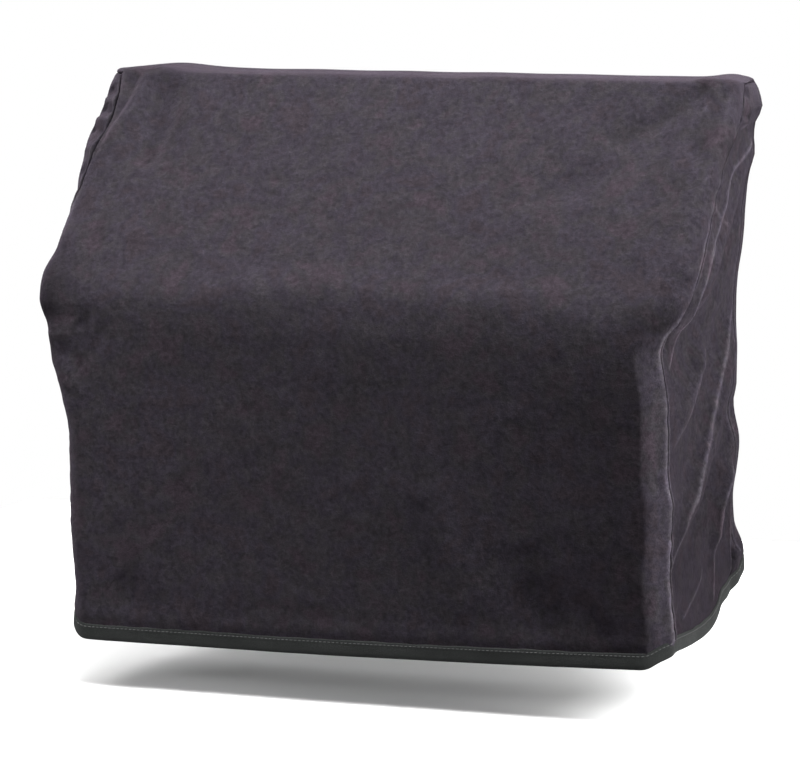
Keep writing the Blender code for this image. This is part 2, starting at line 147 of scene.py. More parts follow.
# Finer creases that lie on them, along points with places like those of the folds. A lean makes one flank steeper
# than the other. A crisp one has a sharp crest, and the crisper it is, the brighter the painted highlight along it
CREASES = table(
    "face width height points lean crisp",
    ("right", 4.2, 2.4, ((10, 44), (-16, 58), (-44, 69), (-57, 89)), 0.4, 1.0),
    ("right", 4.2, 2.2, ((-42, 67), (-57, 89), (-81, 110), (-104, 130)), 0.4, 1.0),
    ("right", 4.2, 2.2, ((-81, 110), (-104, 134), (-119, 154), (-121, 174)), 0.4, 1.0),
    ("right", 3.9, 1.8, ((-121, 162), (-120, 178), (-122, 192), (-142, 208)), 0.4, 0.9),
    ("right", 6.5, 2.2, ((-50, 196), (-78, 213), (-116, 242), (-152, 265)), 0.4, 0.5),
    ("right", 4.2, 2.4, ((14, 165), (-14, 203), (-42, 236), (-58, 255)), 0.5, 1.0),
    ("right", 4.2, 2.4, ((-42, 236), (-74, 272), (-100, 298), (-119, 316)), 0.5, 1.0),
    ("right", 4.2, 2.2, ((-100, 298), (-125, 321), (-138, 344), (-156, 364)), 0.5, 0.9),
    ("right", 6.0, -3.4, ((-30, 258), (-62, 299), (-104, 342))),
    ("right", 7.0, -4.5, ((-134, 140), (-141, 160), (-140, 178), (-136, 196))),
    ("right", 8.0, -3.2, ((-14, 138), (-64, 177), (-100, 214))),
    ("right", 3.5, 2.2, ((8, 296), (-14, 320), (-30, 344), (-36, 372)), 0.4, 0.9),
    ("right", 3.5, 1.8, ((-24, 336), (-35, 362), (-37, 388), (-48, 412)), 0.4, 0.7),
    ("right", 3.1, 1.4, ((-62, 375), (-93, 390), (-118, 400), (-136, 405)), 0.2, 0.6),
    ("right", 3.1, 1.2, ((16, 355), (12, 380), (8, 400), (2, 416)), 0.2, 0.5),
    ("right", 3.5, -1.6, ((-34, 22), (-18, 25), (-2, 28))),
    ("right", 3.5, 1.3, ((-38, 28), (-20, 31), (0, 31))),
    ("right", 3.5, -1.6, ((-42, 34), (-22, 37), (-2, 36))),
    ("right", 2.8, -1.8, ((-26, 10), (-16, 8), (-2, 10))),
    ("right", 3.0, 1.4, ((-88, 88), (-71, 99), (-60, 106)), 0, 0.7),
    ("front", 4.5, 2.8, ((-225, 2), (-226, 19), (-234, 38), (-246, 56)), 0.2, 0.1),
    ("front", 5.0, -3.2, ((-235, 3), (-236, 20), (-246, 40))),
    ("front", 10.0, -3.0, ((-212, 2), (-207, 18), (-203, 40), (-209, 75)), 0.2),
    ("front", 4.5, -1.4, ((-222, 8), (-216, 18), (-208, 38))),
    ("front", 8.5, -4.0, ((235, 2), (218, 15), (195, 29), (160, 52))),
    ("front", 4.5, 1.6, ((239, 3), (234, 16), (219, 36)), 0, 0.2),
    ("front", 6.0, -3.0, ((244, 2), (243, 19), (239, 34), (228, 62))),
    ("front", 5.5, 1.4, ((248, 4), (249, 30), (246, 60), (236, 90)), 0, 0.1),
    ("front", 3.0, 1.2, ((190, 2), (208, 1), (224, 2)), 0, 0.3),
    ("front", 14.0, 2.4, ((-240, 162), (-130, 164), (-40, 155), (40, 154))),
    ("front", 14.0, 2.4, ((-30, 155), (50, 155), (120, 159), (225, 162))),
    ("front", 10.0, -4.0, ((250, 137), (241, 150), (234, 164), (228, 186))),
    ("front", 8.0, -3.0, ((-262, 182), (-240, 180), (-214, 183))),
    ("front", 4.5, 1.8, ((-262, 195), (-240, 193), (-222, 189)), 0, 0.3),
    ("front", 8.0, -2.8, ((-256, 203), (-237, 209), (-222, 219))),
    ("front", 6.0, 1.6, ((-248, 224), (-234, 232), (-220, 240))),
    ("front", 16.0, -2.2, ((120, 335), (137, 375), (154, 410))),
    ("front", 10.0, -1.6, ((166, 372), (181, 392), (195, 412))),
    ("front", 18.0, 1.6, ((52, 290), (68, 337), (96, 396))),
    ("front", 12.0, -1.4, ((-200, 380), (-180, 392), (-160, 406))),
    ("left", 3.5, -2.4, ((-34, 13), (-40, 16), (-52, 16))),
    ("left", 3.5, 1.8, ((-38, 20), (-46, 23), (-58, 22))),
    ("left", 3.5, -2.6, ((-44, 28), (-53, 30), (-66, 28))),
    ("left", 3.5, 2.0, ((-50, 37), (-60, 38), (-72, 35))),
    ("left", 3.5, -2.4, ((-56, 46), (-67, 46), (-80, 41))),
    ("left", 4.5, 2.0, ((-68, 60), (-79, 58), (-92, 52))),
    ("left", 4.5, -2.2, ((-82, 76), (-92, 73), (-106, 68))),
    ("left", 6.0, 1.6, ((10, 70), (-40, 110), (-110, 164)), 0.3, 0.6),
    ("left", 6.0, 1.6, ((14, 160), (-50, 230), (-140, 300)), 0.3, 0.6),
    ("left", 6.0, 1.4, ((0, 320), (-22, 350), (-44, 396)), 0.3, 0.6),
    ("back", 12.0, -2.4, ((236, 20), (180, 90), (60, 130))),
    ("back", 12.0, 2.0, ((-238, 16), (-170, 80), (-50, 120))),
    ("back", 14.0, 2.2, ((-30, 200), (-26, 300), (-34, 400)), 0.3),
    ("back", 14.0, -2.0, ((30, 240), (36, 320), (28, 410))),
    defaults=(0, 0),
)
CREASE_END = 0.14
CREASE_STEPS = 7
CREST_SOFTNESS = 0.0008
CREST_HIGHLIGHT_SHARE = 0.42

# Low humps over the two ends of the top, and the drop at which they have died away
HUMPS = table("x width height", (-0.224, 0.028, 0.0034), (0.232, 0.014, 0.0024))
HUMP_FADE_DROP = 0.030

# Broad unevenness of the hanging cloth, by face, and the distances from a seam within which it sets in. Each is a
# sum of waves with chance directions and pitches near its own
UNEVEN = table(
    "face wavelength height",
    ("front", 0.110, 0.0010), ("front", 0.034, 0.00022),
    ("back", 0.120, 0.0016), ("back", 0.040, 0.00035),
    ("top", 0.090, 0.0003),
    ("left", 0.060, 0.0010), ("left", 0.024, 0.00035),
    ("right", 0.070, 0.0007), ("right", 0.024, 0.00030),
)
UNEVEN_FROM_SEAM = {"front": (0, 0.02), "top": (0, 0.02), "back": (0.02, 0.05)}
UNEVEN_FROM_SIDE_SEAM = 0.012
UNEVEN_FROM_SIDE_BACK = 0.03
UNEVEN_SEED = 11
RIPPLE_WAVES = 7
RIPPLE_PITCHES = (0.7, 1.5)

# The cloth beside a seam: its turned-in edge, its roll and the puckers that the sewing draws in. The roll and the
# puckers vary along it. The front seams have their full height, the back and top seams a share of it, and the
# shares run smoothly into one another
SEAM_EDGE_DEPTH = 0.0016
SEAM_EDGE_WIDTH = 0.0014
SEAM_ROLL_AT = 0.0024
SEAM_ROLL_WIDTH = 0.0011
SEAM_ROLL_HEIGHT = 0.0010
ROLL_VARIATION, ROLL_WAVE = 0.35, 0.03
PUCKER_REACH = 0.009
PUCKER_WAVE = 0.013
PUCKER_HEIGHT = 0.00045
PUCKER_VARIATION, PUCKER_CHANGE = 0.8, 0.09
BACK_SEAM = 0.3
TOP_SEAM = 0.2
TOP_SEAM_FADE = 0.022
SEAM_MIDDLE_BLEND = 0.02

# The binding pinches the hem, and the cloth puffs out above it
HEM_PINCH = 0.0005
HEM_PUFF = 0.0006
HEM_PUFF_ABOVE = 0.006

# Painted light: how strongly it lightens or darkens the velour, as in a crest's painted highlight. A seam's roll has
# a painted highlight too, in broken runs that are faint near the top, and the stitched line a painted shade
PAINTED_LIGHT_GAIN = 1.45
SEAM_SHEEN = 1.6
SEAM_SHEEN_AT = 0.0030
SEAM_SHEEN_WIDTH = 0.0015
SEAM_SHEEN_DROPS = (0.06, 0.13)
SEAM_SHEEN_ABOVE = 0.15
RUN_LEVEL, RUN_VARIATION, RUN_WAVE, RUN_LIMITS = 0.75, 0.60, 0.05, (0.25, 1.1)
SEAM_SHADE = 0.74
SEAM_SHADE_WIDTH = 0.0020

# Painted shade where the cloth faces up, low on the gussets, on the right part of the front's wall and in two
# hollows at the ends of the shoulder, and a painted highlight on the strip between that wall and its right seam. A
# pair
# holds the two ends of a smooth step: upward parts of the normal, distances from the seam, drops or places on x
TOP_SHADE, TOP_FACING = 0.18, (0.72, 0.97)
LOW_SHADE, LOW_SHADE_DROPS = 0.31, (0.14, HEM_DROP)
STRIP_SHEEN, STRIP_EDGE, STRIP_DROPS = 0.26, (0.014, 0.022), (0.168, 0.208)
WALL_SHADE, WALL_EDGE, WALL_DROPS, WALL_X = 0.17, (0.022, 0.026), (0.188, 0.238), (0.06, 0.22)
HOLLOW_SHADES = table("x drop width height shade", (-0.262, 0.172, 0.022, 0.034, 0.40), (0.224, 0.168, 0.026, 0.014, 0.24))

# Distances from a seam at which columns of points lie, how many more there are, how much those of the panel crowd
# towards the seam, and the numbers of rows
SEAM_COLUMNS = np.array((0, 0.0006, 0.0011, 0.0016, 0.0021, 0.0026, 0.0032, 0.0039, 0.0049, 0.0063))
PANEL_COLUMNS = 122
GUSSET_COLUMNS = 132
CROWDING = 0.65
DENSE = 200
HEM_ROWS = 7
WALL_ROWS, ROLL_ROWS, SLOPE_ROWS, TOP_ROWS, EDGE_ROWS, BACK_ROWS = 84, 24, 84, 15, 4, 66
GUSSET_ROWS = 340

# The folded tape: how far it stands off the cloth and bulges, how far its outer leg is tucked in at some distances
# below its upper edge, and the shares of its height at which further points of its two legs lie
TAPE_STATIONS = 640
HEM_SMOOTHING = 3
TAPE_OFF_CLOTH = 0.0002
TAPE_BULGE = 0.0004
TAPE_TUCKS = ((0.0004, 0), (0.0001, 0.0012), (0, 0.0030))
OUTER_SHARES = (0.45, 0.15)
INNER_SHARES = (0.3, 0.65)
INNER_TUCK = 0.0002
FOLD_POINTS, FOLD_FLATNESS = 7, 0.9
SWELL, SWELL_WAVE, SWELL_SEED = 0.25, 0.05, 71
RISE, RISE_WAVE, RISE_SEED = 0.00035, 0.028, 73

# The stitches near the tape's upper edge, each a short arch of thread that is thinner at its ends
STITCH_PITCH = 0.0034
STITCH_LENGTH = 0.0022
STITCH_RADIUS = 0.00022
STITCH_BELOW_EDGE = 0.0020
STITCH_OFF_TAPE, STITCH_ARCH = 0.0003, 0.00025
STITCH_END = 0.25
STITCH_RINGS, STITCH_SIDES = 5, 6

# Which way each side lies, and the seed of its seams
SIGNS = {"left": -1, "right": 1}
SEEDS = {"left": 31, "right": 47}

# Pitch of the weave of the velour's back and of the twill's ribs
WEAVE_PITCH = 0.0011

# The camera, set for the photograph's view
CAMERA_AT = Vector((1.016, -2.949, 0.165))
CAMERA_AZIMUTH = np.radians(19.5)
CAMERA_PITCH = np.radians(7.48)
FOCAL_SHARE = 3997 / 800
SENSOR = 36.0
FLOOR_DROP = 0.466
FLOOR_SIZE = 1.3
FLOOR_TONE = 0.35

# The soft boxes of the studio, and the brightness of the sweep by the height that a direction looks to
LIGHTS = table(
    "name at target size power",
    ("near_top", (0.02, -0.35, 0.75), (0.02, -0.1, -0.1), (0.8, 0.6), 50),
    ("overhead", (0.15, -0.2, 1.1), (0.05, -0.1, -0.05), (1.0, 0.8), 27),
    ("overhead_left", (-1.4, -0.1, 1.6), (0, -0.05, -0.1), (1.0, 1.0), 72),
    ("near_left", (-0.65, -0.75, -0.2), (-0.15, -0.17, -0.3), (0.35, 0.35), 17),
    ("right_low", (2.0, -0.35, 0.12), (0.2, -0.05, -0.2), (0.4, 0.7), 98),
    ("right_high", (1.8, -0.35, 0.7), (0.2, -0.05, -0.1), (0.4, 0.6), 138),
    ("behind", (-0.3, 1.5, 0.90), (0.0, 0.05, -0.15), (1.2, 0.8), 48),
)
SWEEP = ((0.03, 1.0), (0.12, 0.0))


def smooth(share):
    share = np.clip(share, 0, 1)
    return share * share * (3 - 2 * share)


def ease(value, start, end):
    """A smooth step from nought at the start to one at the end."""
    return smooth((value - start) / (end - start))


def metres(millimetres):
    return np.array(millimetres) / 1000


def curve_through(places, values, at):
    """A smooth curve through the values, with no overshoot between them."""
    slopes = np.diff(values) / np.diff(places)
    before, after = slopes[:-1], slopes[1:]
    same_way = before * after > 0
    inner = np.where(same_way, 2 * before * after / np.where(same_way, before + after, 1), 0)
    tangents = np.concatenate([slopes[:1], inner, slopes[-1:]])
    at = np.clip(at, places[0], places[-1])
    i = np.clip(np.searchsorted(places, at, side="right") - 1, 0, len(places) - 2)
    length = places[i + 1] - places[i]
    t = (at - places[i]) / length
    start = (1 + 2 * t) * (1 - t) ** 2 * values[i] + t * (1 - t) ** 2 * length * tangents[i]
    end = t * t * (3 - 2 * t) * values[i + 1] + t * t * (t - 1) * length * tangents[i + 1]
    return start + end


def section(column, drop):
    return curve_through(*metres([(row.drop, getattr(row, column)) for row in SECTIONS]).T, drop)


def front_y(drop):
    """The front seen from the side: upright, a rolled shoulder, then a slope up to the top's edge."""
    tangent = SHOULDER_RADIUS * np.tan(LEAN / 2)
    roll_start = SHOULDER_DROP + tangent
    roll_end = SHOULDER_DROP - tangent * np.cos(LEAN)
    height = np.clip(roll_start - drop, 0, SHOULDER_RADIUS)
    rolled = FRONT + SHOULDER_RADIUS - np.sqrt(SHOULDER_RADIUS**2 - height**2)
    sloped = -TOP_DEPTH / 2 - drop * np.tan(LEAN)
    return np.where(drop > roll_end, rolled, sloped)


def back_y(drop):
    height = np.clip(BACK_EDGE_RADIUS - drop, 0, BACK_EDGE_RADIUS)
    return BACK - BACK_EDGE_RADIUS + np.sqrt(BACK_EDGE_RADIUS**2 - height**2)


def on_face(rows, face):
    return [row for row in rows if row.face == face]


def fold_height(face, across, drop):
    """The ridges less the troughs of one face. Each follows a bend through its three points."""
    total = np.zeros(np.broadcast(across, drop).shape)
    steps = np.linspace(0, 1, FOLD_STEPS + 1)[:, None]
    for fold in on_face(FOLDS, face):
        start, middle, end = metres([fold.start, fold.middle, fold.end])
        bend = 2 * middle - (start + end) / 2
        points = (1 - steps) ** 2 * start + 2 * steps * (1 - steps) * bend + steps**2 * end
        nearest, along, _ = nearest_on(points, across, drop)
        taper = smooth(along / FOLD_END) * smooth((1 - along) / FOLD_END)
        total += metres(fold.height) * taper * np.exp(-((nearest / metres(fold.width)) ** 2))
    return total


def nearest_on(points, across, drop):
    """The distance to a line of points, the share along it and on which hand of it a place lies."""
    nearest = np.full(np.broadcast(across, drop).shape, np.inf)
    along, hand = np.zeros(nearest.shape), np.zeros(nearest.shape)
    for i in range(len(points) - 1):
        ahead = points[i + 1] - points[i]
        beside, below = across - points[i, 0], drop - points[i, 1]
        share = np.clip((beside * ahead[0] + below * ahead[1]) / (ahead @ ahead), 0, 1)
        distance = np.hypot(beside - share * ahead[0], below - share * ahead[1])
        closer = distance < nearest
        along = np.where(closer, (i + share) / (len(points) - 1), along)
        hand = np.where(closer, np.sign(beside * ahead[1] - below * ahead[0]), hand)
        nearest = np.minimum(nearest, distance)
    return nearest, along, hand


def creased(face, across, drop):
    """The height of one face's fine creases, each along a smooth line, and the painted highlight along their crests.
    """
    raised, sunk, painted_light_amount = np.zeros((3, *np.broadcast(across, drop).shape))
    for crease in on_face(CREASES, face):
        given, width, height = (metres(size) for size in (crease.points, crease.width, crease.height))
        ends = np.concatenate([2 * given[:1] - given[1:2], given, 2 * given[-1:] - given[-2:-1]])
        line = []
        for i in range(len(given) - 1):
            a, b, c, d = ends[i:i + 4]
            for t in np.linspace(0, 1, CREASE_STEPS + 1)[:-1]:
                line.append(((2 * b) + (c - a) * t + (2 * a - 5 * b + 4 * c - d) * t**2
                             + (3 * b - a - 3 * c + d) * t**3) / 2)
        line = np.array(line + [given[-1]])
        nearest, along, hand = nearest_on(line, across, drop)
        taper = smooth(along / CREASE_END) * smooth((1 - along) / CREASE_END)
        reach = width * (1 - crease.lean * hand)
        if crease.crisp:
            crest = np.exp(-(np.hypot(nearest, CREST_SOFTNESS) - CREST_SOFTNESS) / reach)
        else:
            crest = np.exp(-((nearest / reach) ** 2))
        relief = height * taper * crest
        raised, sunk = np.maximum(raised, relief), sunk + np.minimum(relief, 0)
        painted_light_amount = np.maximum(painted_light_amount, crease.crisp * taper * np.exp(-((nearest / (CREST_HIGHLIGHT_SHARE * width)) ** 2)))
    return raised + sunk, painted_light_amount


def seam_y(side, end, drop):
    setback = section(f"{side if end == 'front' else 'back'}_setback", np.minimum(drop, STRAIGHT_DROP))
    if end == "front":
        return front_y(drop) + setback
    return back_y(drop) - setback


def off_seams(side, y, drop):
    """Moves y to the nearer seam inside the stiff band along it, so that no fold bends the cloth there."""
    front, back = seam_y(side, "front", drop), seam_y(side, "back", drop)
    inner = np.clip((y - front - SEAM_BAND) / (back - front - 2 * SEAM_BAND), 0, 1)
    between = front + (back - front) * inner
    return between + np.minimum(y - front + SEAM_BAND, 0) + np.maximum(y - back - SEAM_BAND, 0)


def corner_inset(radius, distance, flat=0.0):
    """How far a rounded corner draws a side in, at a distance from the face round the corner."""
    short = np.clip(radius - distance, 0, radius)
    return (1 - flat) * (radius - np.sqrt(radius**2 - short**2)) + flat * short


def half_width(side, y, drop):
    """From the middle to the side's outer face, with that side's folds and its rounded corners."""
    drop = np.minimum(drop, STRAIGHT_DROP)
    front, back = front_y(drop), back_y(drop)
    width_front, width_back = section(side + "_front", drop), section(side + "_back", drop)
    backwards = ease(y, front, back)
    width = width_front + (width_back - width_front) * backwards
    flat = CORNER_FLATNESS[side] * smooth((drop - SHOULDER_DROP) / FLATTENING_DROP)
    width = width - corner_inset(section(side + "_corner", drop), y - front, flat)
    width = width - corner_inset(BACK_CORNER, back - y)
    dip = TOP_CORNER_DIP[side] * (1 - smooth(drop / TOP_CORNER_DIP_DROP))
    dip = dip + TOP_EDGE_DIP * (1 - smooth(drop / TOP_EDGE_DIP_DROP))
    width = width - dip * backwards
    return width + fold_height(side, off_seams(side, y, drop), drop)


def hem_shift(x, y, drop):
    """How much lower than its own drop a point lies, so that the hem follows its line."""
    setback = y - FRONT
    line = curve_through(*metres(HEM).T, setback)
    share = x / metres(SECTIONS[-1].right_front)
    tilt = (HEM_BOW * (1 - share**2) - HEM_TILT * share / 2) * (1 - smooth(setback / (DEPTH / 2)))
    return (line + tilt - HEM_DROP) * ease(drop, HEM_FADE_DROP, STRAIGHT_DROP)


def placed(x, y, drop):
    lowered = drop + hem_shift(x, y, drop)
    return np.stack(np.broadcast_arrays(x, y, CLOTH / 2 - lowered), axis=-1)


def hump_height(x, drop):
    total = sum(hump.height * np.exp(-(((x - hump.x) / hump.width) ** 2)) for hump in HUMPS)
    return total * (1 - smooth(drop / HUMP_FADE_DROP))


def top_drop(y):
    """The rounded front and back edges of the top, as drops below its flat middle."""
    edge = FRONT_EDGE_DROP / np.cos(LEAN)
    radius = edge / np.tan((np.pi / 2 - LEAN) / 2)
    front_reach = np.clip(edge - TOP_DEPTH / 2 - y, 0, radius)
    back_reach = np.clip(y - BACK + BACK_EDGE_RADIUS, 0, BACK_EDGE_RADIUS)
    front_drop = radius - np.sqrt(radius**2 - front_reach**2)
    return front_drop + BACK_EDGE_RADIUS - np.sqrt(BACK_EDGE_RADIUS**2 - back_reach**2)


def ripple(across, down, wavelength, seed):
    """Smooth, even noise of about one wavelength, between about minus one and one."""
    chance = np.random.default_rng(seed)
    total = 0
    for _ in range(RIPPLE_WAVES):
        turn, phase = chance.uniform(0, 2 * np.pi, 2)
        pitch = wavelength * chance.uniform(*RIPPLE_PITCHES)
        total = total + np.sin(2 * np.pi * (across * np.cos(turn) + down * np.sin(turn)) / pitch + phase)
    return total / (RIPPLE_WAVES / 2)


def panel_rows(side):
    """For each row of the panel, its place on the outline and on the seam, as (y, drop), and its face."""
    roll = SHOULDER_RADIUS * np.tan(LEAN / 2)
    hem = np.linspace(HEM_DROP, STRAIGHT_DROP, HEM_ROWS)
    wall = np.linspace(hem[-1], SHOULDER_DROP + roll, WALL_ROWS + 1)[1:]
    rolled = np.linspace(wall[-1], SHOULDER_DROP - roll * np.cos(LEAN), ROLL_ROWS + 1)[1:]
    sloped = np.linspace(rolled[-1], GUSSET_TOP_DROP, SLOPE_ROWS + 1)[1:]
    front = np.concatenate([hem, wall, rolled, sloped])
    edge = BACK_EDGE_RADIUS - np.linspace(0, BACK_EDGE_RADIUS - GUSSET_TOP_DROP, EDGE_ROWS)
    back = np.concatenate([hem, np.linspace(hem[-1], edge[0], BACK_ROWS + 1)[1:], edge[1:]])[::-1]
    top_y = np.linspace(front_y(GUSSET_TOP_DROP), back_y(GUSSET_TOP_DROP), TOP_ROWS + 1)[1:-1]
    top_seam = np.linspace(*(seam_y(side, end, GUSSET_TOP_DROP) for end in ("front", "back")), TOP_ROWS + 1)[1:-1]
    outline = (front_y(front), front), (top_y, top_drop(top_y)), (back_y(back), back)
    seam = (
        (seam_y(side, "front", front), front),
        (top_seam, np.full(len(top_y), GUSSET_TOP_DROP)),
        (seam_y(side, "back", back), back),
    )
    outline, seam = (np.concatenate([np.stack(part, axis=1) for part in line]) for line in (outline, seam))
    return outline, seam, np.repeat(["front", "top", "back"], [len(front), len(top_y), len(back)])


def outward(outline):
    """For each row of the outline, the direction straight out of the cloth, as (y, drop)."""
    along = np.gradient(outline, axis=0)
    normal = np.stack([-along[:, 1], along[:, 0]], axis=1)
    return -normal / np.linalg.norm(normal, axis=1, keepdims=True)


def respaced(points, extra, at):
    """Moves the points of each row to the given lengths from the row's first point."""
    length = lengths(points, 1)
    wanted = at(length[:, -1:])
    layers = np.concatenate([points, extra], axis=2)
    moved = np.empty((len(points), wanted.shape[1], layers.shape[2]))
    for row in range(len(points)):
        for layer in range(layers.shape[2]):
            moved[row, :, layer] = np.interp(wanted[row], length[row], layers[row, :, layer])
    return moved[:, :, :3], moved[:, :, 3:], wanted


def panel_half(side):
    """Half of the panel from its seam to the middle: its points, for each its y and drop before folds and how far
    it lies on its face, not the corner, then its length from the seam, and the face of each row."""
    outline, seam, faces = panel_rows(side)
    flat = [(share, 0.0, 0.0) for share in np.linspace(0, 1, DENSE)]
    corner = [(1.0, turn, 0.0) for turn in np.linspace(0, 1, DENSE // 3)[1:]]
    reach = [(1.0, 1.0, share) for share in np.linspace(0, 1, DENSE // 6)[1:]]
    share, turn, reach = (column[None, :] for column in np.array(flat + corner + reach).T)
    inward = seam - outline
    length = np.linalg.norm(inward, axis=1, keepdims=True)
    inward = inward / length
    rolled = CORNER_SHARE * length
    level_radius = section(side + "_corner", np.minimum(outline[:, 1:], STRAIGHT_DROP))
    radius = np.select([faces == "front", faces == "back"], [level_radius[:, 0], BACK_CORNER], rolled[:, 0])[:, None]
    angle = turn * np.arccos(1 - np.minimum(rolled / radius, 1))
    offset = radius * (1 - np.cos(angle)) + reach * (length - np.minimum(rolled, radius))
    y = outline[:, :1] + inward[:, :1] * offset
    drop = outline[:, 1:] + inward[:, 1:] * offset
    over_top = (faces == "top")[:, None] * radius * (1 - np.sin(angle))
    x = SIGNS[side] * share * (half_width(side, y, drop) - over_top)
    relief = np.zeros(x.shape)
    for face in ("front", "back"):
        rows = faces == face
        relief[rows] = fold_height(face, x[rows], np.minimum(drop[rows], STRAIGHT_DROP))
    onto_face = 1 - smooth(offset / length)
    relief *= onto_face
    away = outward(outline)
    lifted = drop + away[:, 1:] * relief - hump_height(x, drop)
    points = placed(x, y + away[:, :1] * relief, lifted)
    extra = np.stack([y, drop, onto_face], axis=2)
    even = np.linspace(0, 1, PANEL_COLUMNS + 1)[1:]
    spread = even * (1 - CROWDING + CROWDING * even)

    def wanted(total):
        near = np.zeros(total.shape) + SEAM_COLUMNS
        return np.hstack([near, SEAM_COLUMNS[-1] + spread * (total - SEAM_COLUMNS[-1])])

    return *respaced(points[:, ::-1], extra[:, ::-1], wanted), faces


def surface_normals(points):
    """The unit normals of a grid of points, by the order of its columns and rows."""
    normal = np.cross(np.gradient(points, axis=1), np.gradient(points, axis=0))
    return normal / np.maximum(np.linalg.norm(normal, axis=2, keepdims=True), 1e-12)


def seam_relief(distance, along, seed):
    """The rolled edge beside a seam, its turned-in edge and its puckers."""
    edge = -SEAM_EDGE_DEPTH * (1 - smooth(distance / SEAM_EDGE_WIDTH))
    roll_height = SEAM_ROLL_HEIGHT * (1 + ROLL_VARIATION * ripple(along, 0, ROLL_WAVE, seed + 1))
    roll = roll_height * np.exp(-(((distance - SEAM_ROLL_AT) / SEAM_ROLL_WIDTH) ** 2))
    pucker = ripple(along, 0, PUCKER_WAVE, seed) * np.exp(-((distance / PUCKER_REACH) ** 2))
    strength = 1 + PUCKER_VARIATION * ripple(along, 0, PUCKER_CHANGE, seed + 2)
    return edge + roll + PUCKER_HEIGHT * strength * pucker * smooth(distance / SEAM_ROLL_AT)


def seam_depth(drop):
    """The share of its relief that a seam has at most: less towards the top."""
    return TOP_SEAM + (1 - TOP_SEAM) * smooth((drop - GUSSET_TOP_DROP) / TOP_SEAM_FADE)


def seam_painted_light(distance, along, drop, seed):
    """Painted highlight along the seam's rolled edge, less painted shade along its stitched line."""
    runs = np.clip(RUN_LEVEL + RUN_VARIATION * ripple(along, 0, RUN_WAVE, seed + 5), *RUN_LIMITS)
    runs = runs * (SEAM_SHEEN_ABOVE + (1 - SEAM_SHEEN_ABOVE) * ease(drop, *SEAM_SHEEN_DROPS))
    painted_light_amount = SEAM_SHEEN * runs * np.exp(-(((distance - SEAM_SHEEN_AT) / SEAM_SHEEN_WIDTH) ** 2))
    return painted_light_amount - SEAM_SHADE * (1 - smooth(distance / SEAM_SHADE_WIDTH))


def hem_relief(drop):
    """The cloth is pinched by the binding and puffs a little above it."""
    above = HEM_DROP - drop
    pinch = -HEM_PINCH * (1 - smooth((above - TAPE_HEIGHT) / (HEM_PUFF_ABOVE / 2)))
    puff = HEM_PUFF * np.exp(-(((above - TAPE_HEIGHT - HEM_PUFF_ABOVE) / HEM_PUFF_ABOVE) ** 2))
    return pinch + puff


def uneven(face, across, drop):
    """The broad unevenness of one face."""
    total = 0
    for seed, wave in enumerate(UNEVEN):
        if wave.face == face:
            total = total + wave.height * ripple(across, drop, wave.wavelength, seed + UNEVEN_SEED)
    return total


def panel_grid():
    """The whole panel's mid surface with its fine relief, its normals, and its painted highlights and shade."""
    left, right = (panel_half(side) for side in SIGNS)
    points, extra, to_seam = (np.hstack([left[i], right[i][:, -2::-1]]) for i in range(3))
    faces = left[3]
    on_front, on_top = ((faces == face)[:, None] for face in ("front", "top"))
    y, drop, onto_face = (extra[:, :, i] for i in range(3))
    x = points[:, :, 0]
    normal = surface_normals(points)
    relief, painted_light = np.zeros(x.shape), np.zeros(x.shape)
    for face in ("front", "top", "back"):
        rows = faces == face
        across = drop[rows] if face != "top" else y[rows]
        relief[rows] = uneven(face, x[rows], across) * ease(to_seam[rows], *UNEVEN_FROM_SEAM[face])
        # The creases' crests carry a painted highlight
        height, painted_light[rows] = creased(face, x[rows], across)
        relief[rows] += height * onto_face[rows]
    along = np.where(on_top, y, np.where(on_front, -drop, drop))
    share = np.select([faces == "back", faces == "top"], [BACK_SEAM, TOP_SEAM], 1.0)[:, None]
    for side, sign in SIGNS.items():
        deep = share * (x * sign > 0)
        relief += np.minimum(deep, seam_depth(drop)) * seam_relief(to_seam, along, SEEDS[side])
        # Painted highlight along each seam's roll and painted shade along its stitched line
        painted_light += deep * seam_painted_light(to_seam, along, drop, SEEDS[side])
    # Painted shade where the cloth faces up, on the wall's right part and in two hollows, and a painted highlight on
    # the strip
    painted_light -= TOP_SHADE * ease(normal[:, :, 2], *TOP_FACING)
    strip = (1 - ease(to_seam, *STRIP_EDGE)) * ease(drop, *STRIP_DROPS) * (x > 0)
    wall = ease(to_seam, *WALL_EDGE) * ease(drop, *WALL_DROPS) * ease(x, *WALL_X)
    painted_light += (STRIP_SHEEN * strip - WALL_SHADE * wall) * on_front
    for hollow in HOLLOW_SHADES:
        off_middle = ((x - hollow.x) / hollow.width) ** 2 + ((drop - hollow.drop) / hollow.height) ** 2
        painted_light -= hollow.shade * np.exp(-off_middle) * on_front
    relief += np.where(on_top, 0, hem_relief(drop))
    return points + normal * relief[:, :, None], normal, painted_light


